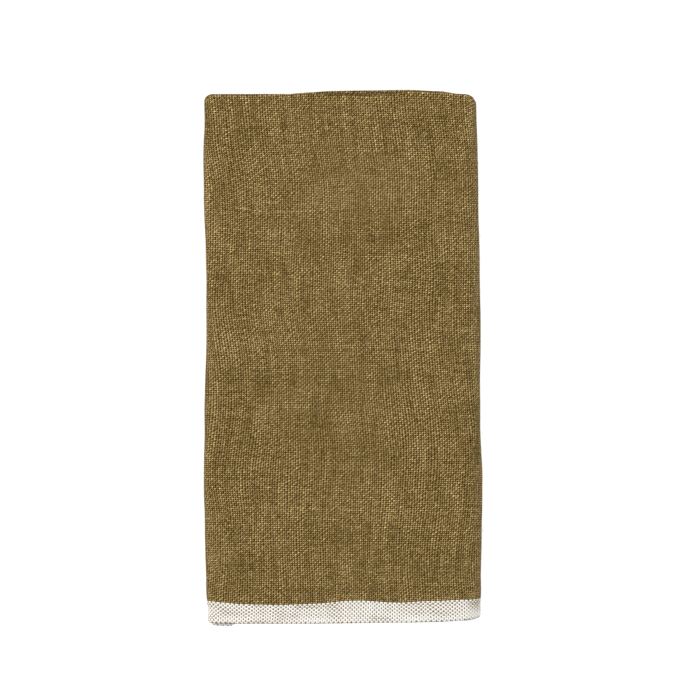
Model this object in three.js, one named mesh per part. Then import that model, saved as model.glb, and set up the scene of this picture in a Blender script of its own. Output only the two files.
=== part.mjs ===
// Folded hand towel: one loosely woven cloth with a white band along each selvedge.
//
// Millimetres. Seen from above, +X is to the right, +Y is towards the folded top edge, and
// +Z is up. The origin is the middle of the underside, which lies flat.
//
// The cloth is doubled once, selvedge to selvedge, so the top edge is a fold and the white
// bands lie at the bottom edge. The doubled cloth, here called a ply, is halved in length
// and then folded in thirds like a letter. So one ply runs back and forth over six levels,
// twelve layers of cloth in all, with the middle third on top and the hemmed ends inside.

import * as THREE from 'three';

// The cloth as woven and cut
const CLOTH_LENGTH = 686;
const CLOTH_WIDTH = 457;
const CLOTH_THICKNESS = 1.0;
const LAYER_GAP = 0.3;

// The towel as folded
const FOLDED_WIDTH = 118.8;
const BACK_FOLD_INSET = 3;
const TOP_LEFT_RADIUS = 3.8;
const TOP_RIGHT_RADIUS = 5.2;
const BOTTOM_LEFT_RADIUS = 1.8;
const BOTTOM_RIGHT_RADIUS = 2.2;

// How far into the towel the edges' own shape is felt: the corners', and all the rest
const TOP_CORNER_REACH = 21;
const BOTTOM_CORNER_REACH = 9;
const EDGE_REACH = 37;

// How finely the ply's section is divided: round its top fold, and up its straight layers
const TOP_FOLD_STEPS = 4;
const ROWS = [0, 0.04, 0.12, 0.25, 0.4, 0.55, 0.7, 0.84, 0.93, 0.98, 1];

const LEFT = -1;
const RIGHT = 1;

const LAYER_PITCH = CLOTH_THICKNESS + LAYER_GAP;
const PLY_PITCH = 2 * LAYER_PITCH;
const HALF_PLY = LAYER_PITCH / 2 + CLOTH_THICKNESS / 2;
const HALF_SLOT = LAYER_PITCH / 2 - CLOTH_THICKNESS / 2;
const HALF_WIDTH = FOLDED_WIDTH / 2;
const TOP_LEVEL = 5;

// Each level of the ply in the order in which it is folded, from one hem to the other
const RUNS = [
  { part: 'tucked third', level: 2, heads: LEFT, steps: 5 },
  { part: 'front third', level: 5, heads: RIGHT, steps: 13 },
  { part: 'back third', level: 0, heads: LEFT, steps: 5 },
  { part: 'back third, second half', level: 1, heads: RIGHT, steps: 5 },
  { part: 'front third, second half', level: 4, heads: LEFT, steps: 11 },
  { part: 'tucked third, second half', level: 3, heads: RIGHT, steps: 5 },
];

// The turn after each run but the last: how many levels nest round its centre, how far
// the nest stays back from the side, and the turn's steps
const TURNS = [
  { fold: 'left letter fold', nest: 4, inset: 0, steps: 8 },
  { fold: 'right letter fold', nest: 6, inset: 0, steps: 10 },
  { fold: 'half fold', nest: 2, inset: BACK_FOLD_INSET, steps: 5 },
  { fold: 'right letter fold, inner', nest: 6, inset: 0, steps: 8 },
  { fold: 'left letter fold, inner', nest: 4, inset: 0, steps: 5 },
];

// How far each side bows out past a straight edge, by height over the middle
const SIDES = [
  { y: -110.7, left: -1.2, right: 0.2 },
  { y: -99.9, left: -0.5, right: 0.6 },
  { y: -74.0, left: -0.15, right: 0.95 },
  { y: -52.4, left: 0.7, right: 1.0 },
  { y: -30.8, left: 0.3, right: 0.35 },
  { y: 3.8, left: -0.55, right: 0.25 },
  { y: 47.0, left: -0.4, right: 0.0 },
  { y: 72.9, left: 0.5, right: -0.7 },
  { y: 90.2, left: 0.75, right: -1.0 },
  { y: 107.5, left: 0.3, right: -1.5 },
];

// How far the bottom edge of every layer lies above a straight edge
const BOTTOM = [
  { x: -56.4, rise: 0.2 },
  { x: -45.6, rise: 0.0 },
  { x: -18.4, rise: 0.0 },
  { x: 24.8, rise: 0.45 },
  { x: 39.9, rise: 0.75 },
  { x: 52.9, rise: 1.4 },
  { x: 57.2, rise: 1.7 },
];

// The top fold of the front ply: a shallow dip, then a swell
const FRONT_TOP = [
  { x: -18.4, rise: 0.0 },
  { x: 1.0, rise: -0.4 },
  { x: 12.7, rise: -0.85 },
  { x: 20.5, rise: -0.1 },
  { x: 31.3, rise: 1.1 },
  { x: 42.1, rise: 0.75 },
  { x: 53.7, rise: 0.0 },
];

// The top fold of the ply behind it, which shows as a low crest
const CREST_TOP = [
  { x: -25.0, rise: 0.0 },
  { x: -14.5, rise: 0.8 },
  { x: -4.1, rise: 1.5 },
  { x: 12.0, rise: 1.75 },
  { x: 29.1, rise: 1.95 },
  { x: 42.5, rise: 1.4 },
  { x: 53.7, rise: 0.0 },
];

// The plies that don't show at the top stay back by a little
const HIDDEN_TOP = [
  { x: -53.0, rise: 0.0 },
  { x: -30.0, rise: -0.5 },
  { x: 10.0, rise: -0.8 },
  { x: 30.0, rise: -0.3 },
  { x: 53.0, rise: 0.0 },
];

// The second layer of the front ply, which shows below the first near the left corner
const SECOND_LAYER_BOTTOM = [
  { x: -58.6, rise: 0.0 },
  { x: -56.0, rise: -1.1 },
  { x: -49.5, rise: -1.1 },
  { x: -46.5, rise: 0.3 },
  { x: 10.0, rise: 0.7 },
  { x: 50.0, rise: 0.4 },
];

// The other layers end a little short of the front one
const HIDDEN_BOTTOM = [
  { x: -53.0, rise: 0.0 },
  { x: -20.0, rise: 0.7 },
  { x: 20.0, rise: 0.4 },
  { x: 52.0, rise: 0.0 },
];

// Soft ridges and troughs over the whole stack: place, reach and share of the height
const SWELLS = [
  { x: 31, y: 92, across: 9, along: 30, share: 0.035 },
  { x: 10, y: 80, across: 10, along: 34, share: -0.03 },
  { x: -30, y: 40, across: 24, along: 40, share: 0.02 },
  { x: 22, y: -20, across: 26, along: 36, share: -0.025 },
  { x: -24, y: -70, across: 26, along: 26, share: -0.02 },
  { x: 30, y: -88, across: 20, along: 22, share: 0.02 },
];

/** Smooth value of a table's column at a place, level beyond its first and last rows. */
function along(table, key, place, column) {
  const last = table.length - 1;
  if (place <= table[0][key]) return table[0][column];
  if (place >= table[last][key]) return table[last][column];
  const i = table.findIndex((row) => row[key] > place);
  const t = (place - table[i - 1][key]) / (table[i][key] - table[i - 1][key]);
  const eased = (1 - Math.cos(Math.PI * t)) / 2;
  return THREE.MathUtils.lerp(table[i - 1][column], table[i][column], eased);
}

/** Middle height of the ply at a level. */
function levelHeight(level) {
  return level * PLY_PITCH + HALF_PLY;
}

/** Where the turn after a run is centred across the towel, and the radius of its ply. */
function turnPlace(i) {
  const { nest, inset } = TURNS[i];
  const outside = ((nest - 1) * PLY_PITCH) / 2 + HALF_PLY;
  const levels = Math.abs(RUNS[i + 1].level - RUNS[i].level);
  return { x: RUNS[i].heads * (HALF_WIDTH - outside - inset), radius: (levels * PLY_PITCH) / 2 };
}

/** Where a run starts and ends across the towel, if both hems lie at hemX. */
function runEnds(i, hemX) {
  return {
    from: i > 0 ? turnPlace(i - 1).x : hemX,
    to: i < TURNS.length ? turnPlace(i).x : hemX,
  };
}

/** Where the hems lie, so that the route is as long as the cloth. */
function hemPlace() {
  let length = 0;
  RUNS.forEach((run, i) => {
    const { from, to } = runEnds(i, 0);
    length += Math.abs(to - from);
    if (i < TURNS.length) length += Math.PI * turnPlace(i).radius;
  });
  return (CLOTH_LENGTH - length) / 2;
}

/** Stations along the ply's route: place, height, and the direction of its outer side. */
function routeStations() {
  const hemX = hemPlace();
  const stations = [];
  RUNS.forEach((run, i) => {
    const { from, to } = runEnds(i, hemX);
    const z = levelHeight(run.level);
    for (let s = i > 0 ? 1 : 0; s <= run.steps; s += 1) {
      const x = THREE.MathUtils.lerp(from, to, s / run.steps);
      stations.push({ x, z, nx: 0, nz: run.heads, level: run.level });
    }
    if (i === TURNS.length) return;
    const next = RUNS[i + 1];
    const { x, radius } = turnPlace(i);
    const climbs = Math.sign(next.level - run.level);
    const middle = (z + levelHeight(next.level)) / 2;
    const outer = -run.heads * climbs;
    for (let s = 1; s <= TURNS[i].steps; s += 1) {
      const angle = (Math.PI * s) / TURNS[i].steps;
      const out = run.heads * Math.sin(angle);
      const up = -climbs * Math.cos(angle);
      const level = s < TURNS[i].steps / 2 ? run.level : next.level;
      stations.push({
        x: x + radius * out,
        z: middle + radius * up,
        nx: outer * out,
        nz: outer * up,
        level,
      });
    }
  });
  return stations;
}

/** One side of the doubled ply, from the bottom of one layer over the fold to the other's. */
function plySide(radius, bottom, straight) {
  const foldY = bottom + straight;
  const rows = ROWS.map((share) => bottom + share * straight);
  const turn = [];
  for (let s = 1; s < TOP_FOLD_STEPS; s += 1) {
    const angle = (Math.PI * s) / TOP_FOLD_STEPS;
    turn.push({ y: foldY + radius * Math.sin(angle), n: radius * Math.cos(angle) });
  }
  return [
    ...rows.map((y) => ({ y, n: radius })),
    ...turn,
    ...rows.reverse().map((y) => ({ y, n: -radius })),
  ];
}

/** The ply's section: its outer and inner sides, with height up the towel and offset. */
function plySection() {
  const straight = (CLOTH_WIDTH - (Math.PI * LAYER_PITCH) / 2) / 2;
  const bottom = -(straight + HALF_PLY) / 2;
  return {
    outer: plySide(HALF_PLY, bottom, straight),
    inner: plySide(HALF_SLOT, bottom, straight),
    bottom,
    top: -bottom,
  };
}

/** How far a corner's arc draws an edge in, at a distance from the side. */
function cornerDraw(fromSide, radius) {
  if (fromSide >= radius) return 0;
  const short = radius - Math.max(fromSide, 0);
  return radius - Math.sqrt(radius * radius - short * short);
}

/** The table of a top edge's own rise at a level. */
function topTable(level) {
  if (level === TOP_LEVEL) return FRONT_TOP;
  return level === TOP_LEVEL - 1 ? CREST_TOP : HIDDEN_TOP;
}

/** Share of an edge's own shape that a point takes: 1 on the edge, none past its reach. */
function fade(fromEdge, reach) {
  return 1 - THREE.MathUtils.smoothstep(fromEdge, 0, reach);
}

/** Moves a point of the evenly folded towel to where the cloth really lies. */
function settle(point, level, n, section) {
  const { x, y, z } = point;
  const fromLeft = x + HALF_WIDTH;
  const fromRight = HALF_WIDTH - x;
  const fromTop = section.top - y;
  const fromBottom = y - section.bottom;

  const bow = (along(SIDES, 'y', y, 'right') * fromLeft
    - along(SIDES, 'y', y, 'left') * fromRight) / FOLDED_WIDTH;

  const topDraw = cornerDraw(fromLeft, TOP_LEFT_RADIUS)
    + cornerDraw(fromRight, TOP_RIGHT_RADIUS);
  const bottomDraw = cornerDraw(fromLeft, BOTTOM_LEFT_RADIUS)
    + cornerDraw(fromRight, BOTTOM_RIGHT_RADIUS);

  const topRise = along(topTable(level), 'x', x, 'rise');
  const isFrontLayer = level === TOP_LEVEL && n > 0;
  const isSecondLayer = level === TOP_LEVEL && n < 0;
  let bottomRise = along(BOTTOM, 'x', x, 'rise');
  if (isSecondLayer) bottomRise += along(SECOND_LAYER_BOTTOM, 'x', x, 'rise');
  else if (!isFrontLayer) bottomRise += along(HIDDEN_BOTTOM, 'x', x, 'rise');

  const swell = SWELLS.reduce((sum, s) => {
    const away = ((x - s.x) / s.across) ** 2 + ((y - s.y) / s.along) ** 2;
    return sum + s.share * Math.exp(-away);
  }, 0);

  return new THREE.Vector3(
    x + bow,
    y + topRise * fade(fromTop, EDGE_REACH) - topDraw * fade(fromTop, TOP_CORNER_REACH)
      + bottomRise * fade(fromBottom, EDGE_REACH)
      + bottomDraw * fade(fromBottom, BOTTOM_CORNER_REACH),
    z * (1 + swell),
  );
}

/** The cloth as one closed solid: the ply's section carried along its route. */
function clothGeometry() {
  const stations = routeStations();
  const section = plySection();
  const loop = [...section.outer, ...[...section.inner].reverse()];
  const ring = loop.length;
  const positions = [];
  stations.forEach(({ x, z, nx, nz, level }) => {
    loop.forEach(({ y, n }) => {
      const even = new THREE.Vector3(x + n * nx, y, z + n * nz);
      positions.push(...settle(even, level, n, section).toArray());
    });
  });

  const faces = [];
  const quad = (a, b, c, d) => faces.push(a, b, c, a, c, d);
  for (let i = 0; i < stations.length - 1; i += 1) {
    for (let j = 0; j < ring; j += 1) {
      const here = i * ring + j;
      const beside = i * ring + ((j + 1) % ring);
      quad(here, here + ring, beside + ring, beside);
    }
  }
  const lastRing = (stations.length - 1) * ring;
  for (let j = 0; j < section.outer.length - 1; j += 1) {
    const facing = ring - 1 - j;
    quad(j, j + 1, facing - 1, facing);
    quad(lastRing + facing, lastRing + facing - 1, lastRing + j + 1, lastRing + j);
  }

  const geometry = new THREE.BufferGeometry();
  geometry.setAttribute('position', new THREE.Float32BufferAttribute(positions, 3));
  geometry.setIndex(faces);
  geometry.computeBoundingBox();
  const { min, max } = geometry.boundingBox;
  geometry.translate(-(min.x + max.x) / 2, -(min.y + max.y) / 2, -min.z);
  geometry.computeVertexNormals();
  return geometry;
}

const clothMaterial = new THREE.MeshStandardMaterial({
  color: 0x7e683d,
  roughness: 0.95,
  metalness: 0,
});

const cloth = new THREE.Mesh(clothGeometry(), clothMaterial);
cloth.name = 'towel_cloth';

const towel = new THREE.Group();
towel.add(cloth);

export default towel;
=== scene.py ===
"""Folded hand towel: its cloth, selvedges and loose fibres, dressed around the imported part."""

import logging
import math
from dataclasses import dataclass, field
from enum import Enum
from typing import Callable, Optional, Union

import bpy
import numpy as np
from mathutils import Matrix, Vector


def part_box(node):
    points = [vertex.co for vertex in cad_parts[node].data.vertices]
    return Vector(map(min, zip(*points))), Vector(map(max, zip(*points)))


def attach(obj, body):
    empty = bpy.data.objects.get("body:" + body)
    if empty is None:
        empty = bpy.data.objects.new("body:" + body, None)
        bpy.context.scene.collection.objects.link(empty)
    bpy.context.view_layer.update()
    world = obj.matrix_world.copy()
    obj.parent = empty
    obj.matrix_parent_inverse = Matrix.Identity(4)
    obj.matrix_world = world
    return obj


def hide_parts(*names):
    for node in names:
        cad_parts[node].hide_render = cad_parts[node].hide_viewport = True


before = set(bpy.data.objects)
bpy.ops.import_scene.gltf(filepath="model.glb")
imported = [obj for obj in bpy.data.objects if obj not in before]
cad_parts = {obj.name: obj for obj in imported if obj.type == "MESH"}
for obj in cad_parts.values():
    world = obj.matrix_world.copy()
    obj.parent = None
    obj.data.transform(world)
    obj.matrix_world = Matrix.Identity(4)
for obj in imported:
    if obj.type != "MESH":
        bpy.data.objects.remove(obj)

LOG = logging.getLogger("folded_towel")
MM = 0.001
CLOTH_NODE = "towel_cloth"
YARN_MAP = "Yarns"
BAKE_MAP = "OFBake"
COUNTS_PER_UNIT = 1000.0
NOISE_SPREAD = 7.5
NOISE_ROUGHNESS = 0.55
SPECULAR = 0.1
TINY = 1e-6

Row = tuple[float, ...]
Table = tuple[Row, ...]


class Heading(Enum):
    """The way in which a run of the folded cloth goes across the towel."""

    LEFT = -1
    RIGHT = 1


def deselect_all() -> None:
    """Leaves object mode with nothing selected."""
    if bpy.context.object and bpy.context.object.mode != "OBJECT":
        bpy.ops.object.mode_set(mode="OBJECT")
    bpy.ops.object.select_all(action="DESELECT")


def make_active(piece: bpy.types.Object) -> None:
    """Selects one piece alone and makes it the active one.

    Args:
        piece: the piece.
    """
    deselect_all()
    piece.select_set(True)
    bpy.context.view_layer.objects.active = piece


def close_up(piece: bpy.types.Object) -> None:
    """Joins a piece's doubled points and turns its faces outwards.

    Args:
        piece: the piece.
    """
    make_active(piece)
    bpy.ops.object.mode_set(mode="EDIT")
    bpy.ops.mesh.select_all(action="SELECT")
    bpy.ops.mesh.remove_doubles(threshold=TINY)
    bpy.ops.mesh.normals_make_consistent(inside=False)
    bpy.ops.object.mode_set(mode="OBJECT")


def read_values(
    items: bpy.types.bpy_prop_collection,
    name: str,
    width: int = 1,
    kind: type = float,
) -> np.ndarray:
    """Reads one property of a mesh's points, corners or faces.

    Args:
        items: the points, corners or faces.
        name: the property.
        width: how many numbers it holds.
        kind: whole numbers or not.

    Returns:
        The values, one row an item where it holds several.
    """
    values = np.empty(len(items) * width, dtype=kind)
    items.foreach_get(name, values)
    return values.reshape(-1, width) if width > 1 else values


def smooth_step(value: np.ndarray, low: float, high: float) -> np.ndarray:
    """Rises smoothly from 0 at low to 1 at high."""
    share = np.clip((value - low) / (high - low), 0.0, 1.0)
    return share * share * (3.0 - 2.0 * share)


def eased(table: Table, place: np.ndarray, column: int = 1) -> np.ndarray:
    """Reads a table smoothly, level beyond its first and last rows.

    Args:
        table: rows that start with a place, in rising order.
        place: where to read it.
        column: which value of a row is wanted.

    Returns:
        The value at each place.
    """
    keys = np.array([row[0] for row in table])
    values = np.array([row[column] for row in table])
    held = np.clip(place, keys[0], keys[-1])
    before = np.clip(np.searchsorted(keys, held, side="right") - 1, 0, len(keys) - 2)
    share = (held - keys[before]) / (keys[before + 1] - keys[before])
    share = (1.0 - np.cos(np.pi * share)) / 2.0
    return values[before] + share * (values[before + 1] - values[before])


@dataclass(frozen=True)
class Draft:
    """How the cloth is woven and cut. Lengths are in millimetres."""

    length: float = 686.0
    width: float = 457.0
    thickness: float = 1.0
    weft_pitch: float = 1.0
    warp_pitch: float = 0.826
    band_ends: int = 11


@dataclass(frozen=True)
class Run:
    """One level of the folded ply: its height in the stack and where it heads."""

    level: int
    heads: Heading
    spacing: float


@dataclass(frozen=True)
class Turn:
    """The fold after a run: how many levels nest in it, and how far it stays back."""

    nest: int
    inset: float
    steps: int


@dataclass
class Route:
    """The back-and-forth route of the doubled cloth, seen from its selvedge edge.

    Lengths are in millimetres, with X across the towel and Z up.
    """

    draft: Draft
    gap: float = 0.3
    folded_width: float = 118.8
    runs: tuple[Run, ...] = (
        Run(2, Heading.LEFT, 6.0),
        Run(5, Heading.RIGHT, 1.6),
        Run(0, Heading.LEFT, 4.0),
        Run(1, Heading.RIGHT, 7.0),
        Run(4, Heading.LEFT, 3.5),
        Run(3, Heading.RIGHT, 7.0),
    )
    turns: tuple[Turn, ...] = (
        Turn(4, 0.0, 14),
        Turn(6, 0.0, 20),
        Turn(2, 3.0, 10),
        Turn(6, 0.0, 14),
        Turn(4, 0.0, 9),
    )

    def __post_init__(self) -> None:
        """Works out the pitches of the stack and the stations of the route."""
        self.layer_pitch = self.draft.thickness + self.gap
        self.ply_pitch = 2.0 * self.layer_pitch
        self.half_ply = (self.layer_pitch + self.draft.thickness) / 2.0
        self.half_width = self.folded_width / 2.0
        self.top_level = max(run.level for run in self.runs)
        self._lay_out()

    def height(self, level: float) -> float:
        """Middle height of the ply at a level."""
        return level * self.ply_pitch + self.half_ply

    def turn_place(self, index: int) -> tuple[float, float]:
        """Where a turn is centred across the towel, and the radius of its ply.

        Args:
            index: which turn, counted from the first hem.

        Returns:
            Its place and radius.
        """
        turn = self.turns[index]
        outside = (turn.nest - 1) * self.ply_pitch / 2.0 + self.half_ply
        levels = abs(self.runs[index + 1].level - self.runs[index].level)
        place = self.runs[index].heads.value * (self.half_width - outside - turn.inset)
        return place, levels * self.ply_pitch / 2.0

    def run_ends(self, index: int, hem: float) -> tuple[float, float]:
        """Where a run starts and ends, if both hems lie at hem.

        Args:
            index: which run, counted from the first hem.
            hem: the hems' place.

        Returns:
            The places of its two ends.
        """
        start = self.turn_place(index - 1)[0] if index > 0 else hem
        end = self.turn_place(index)[0] if index < len(self.turns) else hem
        return start, end

    def hem_place(self) -> float:
        """Where the hems lie, so that the route is as long as the cloth.

        Returns:
            Their place across the towel.
        """
        length = 0.0
        for index in range(len(self.runs)):
            start, end = self.run_ends(index, 0.0)
            length += abs(end - start)
            if index < len(self.turns):
                length += math.pi * self.turn_place(index)[1]
        return (self.draft.length - length) / 2.0

    def _lay_out(self) -> None:
        """Fills the tables of stations: reach along the route, place, outer side, levels."""
        hem = self.hem_place()
        rows: list[list[float]] = []
        reach = 0.0
        turned = 0.0
        for index, run in enumerate(self.runs):
            start, end = self.run_ends(index, hem)
            z = self.height(run.level)
            steps = max(2, round(abs(end - start) / run.spacing))
            for step in range(0 if index == 0 else 1, steps + 1):
                x = start + (end - start) * step / steps
                rows.append([
                    reach + abs(x - start), x, z, 0.0, run.heads.value,
                    turned, run.level, run.level, 0.0,
                ])
            reach += abs(end - start)
            if index == len(self.turns):
                break
            after = self.runs[index + 1]
            centre, radius = self.turn_place(index)
            climbs = 1 if after.level > run.level else -1
            middle = (z + self.height(after.level)) / 2.0
            outer = -run.heads.value * climbs
            steps = self.turns[index].steps
            for step in range(1, steps + 1):
                angle = math.pi * step / steps
                out = run.heads.value * math.sin(angle)
                up = -climbs * math.cos(angle)
                rows.append([
                    reach + radius * angle, centre + radius * out, middle + radius * up,
                    outer * out, outer * up, turned + outer * angle,
                    run.level, after.level, step / steps,
                ])
            reach += math.pi * radius
            turned += outer * math.pi
        table = np.array(rows)
        self.reach, self.x, self.z, self.out_x, self.out_z = table[:, :5].T
        self.turned, self.level, self.next_level, self.share = table[:, 5:].T


@dataclass(frozen=True)
class Wave:
    """A sine over the towel: its lengths by X and Y, what a phase counts for, its start."""

    x: float = math.inf
    y: float = math.inf
    by: float = 0.0
    start: float = 0.0

    def at(self, x: np.ndarray, y: np.ndarray, phase: Union[np.ndarray, float] = 0.0) -> np.ndarray:
        """The wave's height at each place."""
        return np.sin(x / self.x + y / self.y + phase * self.by + self.start)


@dataclass
class Settling:
    """How the evenly folded stack settles: bowed sides, dips and swells. Millimetres."""

    route: Route
    fold_top: float
    top_left_radius: float = 3.8
    top_right_radius: float = 5.2
    bottom_left_radius: float = 1.8
    bottom_right_radius: float = 2.2
    top_corner_reach: float = 21.0
    bottom_corner_reach: float = 9.0
    edge_reach: float = 37.0
    sides: Table = (
        (-110.7, -1.2, 0.2),
        (-99.9, -0.5, 0.6),
        (-74.0, -0.15, 0.95),
        (-52.4, 0.7, 1.0),
        (-30.8, 0.3, 0.35),
        (3.8, -0.55, 0.25),
        (47.0, -0.4, 0.0),
        (72.9, 0.5, -0.7),
        (90.2, 0.75, -1.0),
        (107.5, 0.3, -1.5),
    )
    bottom: Table = (
        (-56.4, 0.2),
        (-45.6, 0.0),
        (-18.4, 0.0),
        (24.8, 0.45),
        (39.9, 0.75),
        (52.9, 1.4),
        (57.2, 1.7),
    )
    front_top: Table = (
        (-18.4, 0.0),
        (1.0, -0.4),
        (12.7, -0.85),
        (20.5, -0.1),
        (31.3, 1.1),
        (42.1, 0.75),
        (53.7, 0.0),
    )
    crest_top: Table = (
        (-25.0, 0.0),
        (-14.5, 0.8),
        (-4.1, 1.5),
        (12.0, 1.75),
        (29.1, 1.95),
        (42.5, 1.4),
        (53.7, 0.0),
    )
    hidden_top: Table = (
        (-53.0, 0.0),
        (-30.0, -0.5),
        (10.0, -0.8),
        (30.0, -0.3),
        (53.0, 0.0),
    )
    second_layer_bottom: Table = (
        (-58.6, 0.0),
        (-56.0, -1.1),
        (-49.5, -1.1),
        (-46.5, 0.3),
        (10.0, 0.7),
        (50.0, 0.4),
    )
    hidden_bottom: Table = (
        (-53.0, 0.0),
        (-20.0, 0.7),
        (20.0, 0.4),
        (52.0, 0.0),
    )
    swells: Table = (
        (31.0, 92.0, 9.0, 30.0, 0.035),
        (10.0, 80.0, 10.0, 34.0, -0.03),
        (-30.0, 40.0, 24.0, 40.0, 0.02),
        (22.0, -20.0, 26.0, 36.0, -0.025),
        (-24.0, -70.0, 26.0, 26.0, -0.02),
        (30.0, -88.0, 20.0, 22.0, 0.02),
    )
    layer_waves: tuple[Wave, ...] = (Wave(x=9.1, by=1.0), Wave(y=13.7, by=1.7))
    layer_ripple: Wave = Wave(x=5.3, y=-8.9, by=2.3)
    ripple_share: float = 0.6
    sway: Wave = Wave(y=11.3, by=1.0)
    sway_ripple: Wave = Wave(y=5.1, by=1.9)
    sway_share: float = 0.5
    long_cockles: tuple[Wave, ...] = (Wave(x=4.3, by=1.7, start=0.8), Wave(y=17.0), Wave(y=21.0))
    cross_cockles: tuple[Wave, ...] = (Wave(y=3.9, by=1.4, start=-0.4), Wave(x=12.0), Wave(x=15.0))
    slant_cockles: tuple[Wave, ...] = (Wave(x=6.1, y=6.1, by=1.0), Wave(x=14.0, y=-14.0))
    ragged_waves: tuple[Wave, ...] = (Wave(x=6.7, by=3.1), Wave(x=15.0, by=1.3))
    pucker: float = 0.0035
    layer_wave: float = 0.075
    layer_phase: float = 2.4
    layer_rise: tuple[float, float] = (0.4, 2.5)
    side_wave: float = 0.16
    side_reach: tuple[float, float] = (40.0, 59.0)
    inner_share: float = 0.185
    ragged_edge: float = 0.28
    ragged_reach: float = 12.0

    def _uneven(self, points: np.ndarray, place: np.ndarray) -> np.ndarray:
        """How far each layer strays from its even place.

        Args:
            points: X, Y and Z of each point.
            place: each point's level, counted on through its turn.

        Returns:
            What to add to each point.
        """
        x, y, z = points.T
        phase = place * self.layer_phase
        first, second = self.layer_waves
        wave = first.at(x, y, phase) * second.at(x, y, phase)
        wave += self.ripple_share * self.layer_ripple.at(x, y, phase)
        off_floor = smooth_step(z, *self.layer_rise)
        side = smooth_step(np.abs(x), *self.side_reach) * np.sign(x)
        sway = self.sway.at(x, y, phase) + self.sway_share * self.sway_ripple.at(x, y, phase)
        strayed = np.zeros_like(points)
        strayed[:, 0] = self.side_wave * sway * side
        strayed[:, 2] = self.layer_wave * wave * off_floor
        return strayed

    def _pucker(self, x: np.ndarray, y: np.ndarray) -> np.ndarray:
        """The small cockles of unevenly tight yarns, as a share of the height.

        Args:
            x: each point's place across the towel.
            y: its place up the towel.

        Returns:
            Their height at each point.
        """
        total = np.zeros_like(x)
        for cockle, bend, *fades in (self.long_cockles, self.cross_cockles, self.slant_cockles):
            height = cockle.at(x, y, bend.at(x, y))
            for fade in fades:
                height = height * fade.at(x, y)
            total += height
        return total / 3.0

    def _draw(self, from_side: np.ndarray, radius: float) -> np.ndarray:
        """How far a corner's arc draws an edge in, at a distance from the side."""
        short = radius - np.clip(from_side, 0.0, radius)
        return radius - np.sqrt(radius * radius - short * short)

    def _top_rise(self, x: np.ndarray, level: np.ndarray) -> np.ndarray:
        """The rise of the top fold of each point's own level.

        Args:
            x: each point's place across the towel.
            level: each point's level.

        Returns:
            The rise at each point.
        """
        front = eased(self.front_top, x)
        crest = eased(self.crest_top, x)
        hidden = eased(self.hidden_top, x)
        top = self.route.top_level
        return np.where(level == top, front, np.where(level == top - 1, crest, hidden))

    def _bottom_rise(self, x: np.ndarray, level: np.ndarray, outer: np.ndarray) -> np.ndarray:
        """The rise of the bottom edge of each point's own layer, past the front layer's.

        Args:
            x: each point's place across the towel.
            level: each point's level.
            outer: whether it is on the ply's outer layer.

        Returns:
            The rise at each point.
        """
        top = self.route.top_level
        second = eased(self.second_layer_bottom, x)
        hidden = eased(self.hidden_bottom, x)
        behind = np.where(level == top, second, hidden)
        return np.where((level == top) & outer, 0.0, behind)

    def settle(self, points: np.ndarray, levels: np.ndarray, side: np.ndarray) -> np.ndarray:
        """Moves points of the evenly folded towel to where the cloth really lies.

        Args:
            points: X, Y and Z of each point.
            levels: each point's level, the level after its turn, and its share of the turn.
            side: 1 on the ply's outer layer, -1 on its inner one, and between in its fold.

        Returns:
            The settled points.
        """
        x, y, z = points.T
        level, after, share = levels.T
        share = smooth_step(share, 0.0, 1.0)
        outer = side > 0.0
        from_left = x + self.route.half_width
        from_right = self.route.half_width - x
        from_top = self.fold_top - y
        from_bottom = y + self.fold_top
        bow = (
            eased(self.sides, y, 2) * from_left - eased(self.sides, y, 1) * from_right
        ) / self.route.folded_width
        top_draw = self._draw(from_left, self.top_left_radius)
        top_draw = top_draw + self._draw(from_right, self.top_right_radius)
        bottom_draw = self._draw(from_left, self.bottom_left_radius)
        bottom_draw = bottom_draw + self._draw(from_right, self.bottom_right_radius)
        rise_here, rise_after = self._top_rise(x, level), self._top_rise(x, after)
        top_rise = rise_here + share * (rise_after - rise_here)
        rise_here = self._bottom_rise(x, level, outer)
        rise_after = self._bottom_rise(x, after, outer)
        bottom_rise = eased(self.bottom, x) + rise_here + share * (rise_after - rise_here)
        swell = self.pucker * self._pucker(x, y)
        for centre_x, centre_y, across, along, height in self.swells:
            away = ((x - centre_x) / across) ** 2 + ((y - centre_y) / along) ** 2
            swell += height * np.exp(-away)
        top_fade = 1.0 - smooth_step(from_top, 0.0, self.edge_reach)
        corner_fade = 1.0 - smooth_step(from_top, 0.0, self.top_corner_reach)
        bottom_fade = 1.0 - smooth_step(from_bottom, 0.0, self.edge_reach)
        foot_fade = 1.0 - smooth_step(from_bottom, 0.0, self.bottom_corner_reach)
        settled_y = y + top_rise * top_fade - top_draw * corner_fade
        settled_y += bottom_rise * bottom_fade + bottom_draw * foot_fade
        place = level + share * (after - level) + self.inner_share * (1.0 - side)
        hidden = 1.0 - np.clip(place - (self.route.top_level - 1.0), 0.0, 1.0)
        first, second = self.ragged_waves
        ragged = 1.0 + first.at(x, y, place) * second.at(x, y, place)
        edge_fade = 1.0 - smooth_step(from_bottom, 0.0, self.ragged_reach)
        settled_y += self.ragged_edge * ragged * hidden * edge_fade
        settled = np.column_stack((x + bow, settled_y, z * (1.0 + swell)))
        return settled + self._uneven(points, place)


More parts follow.
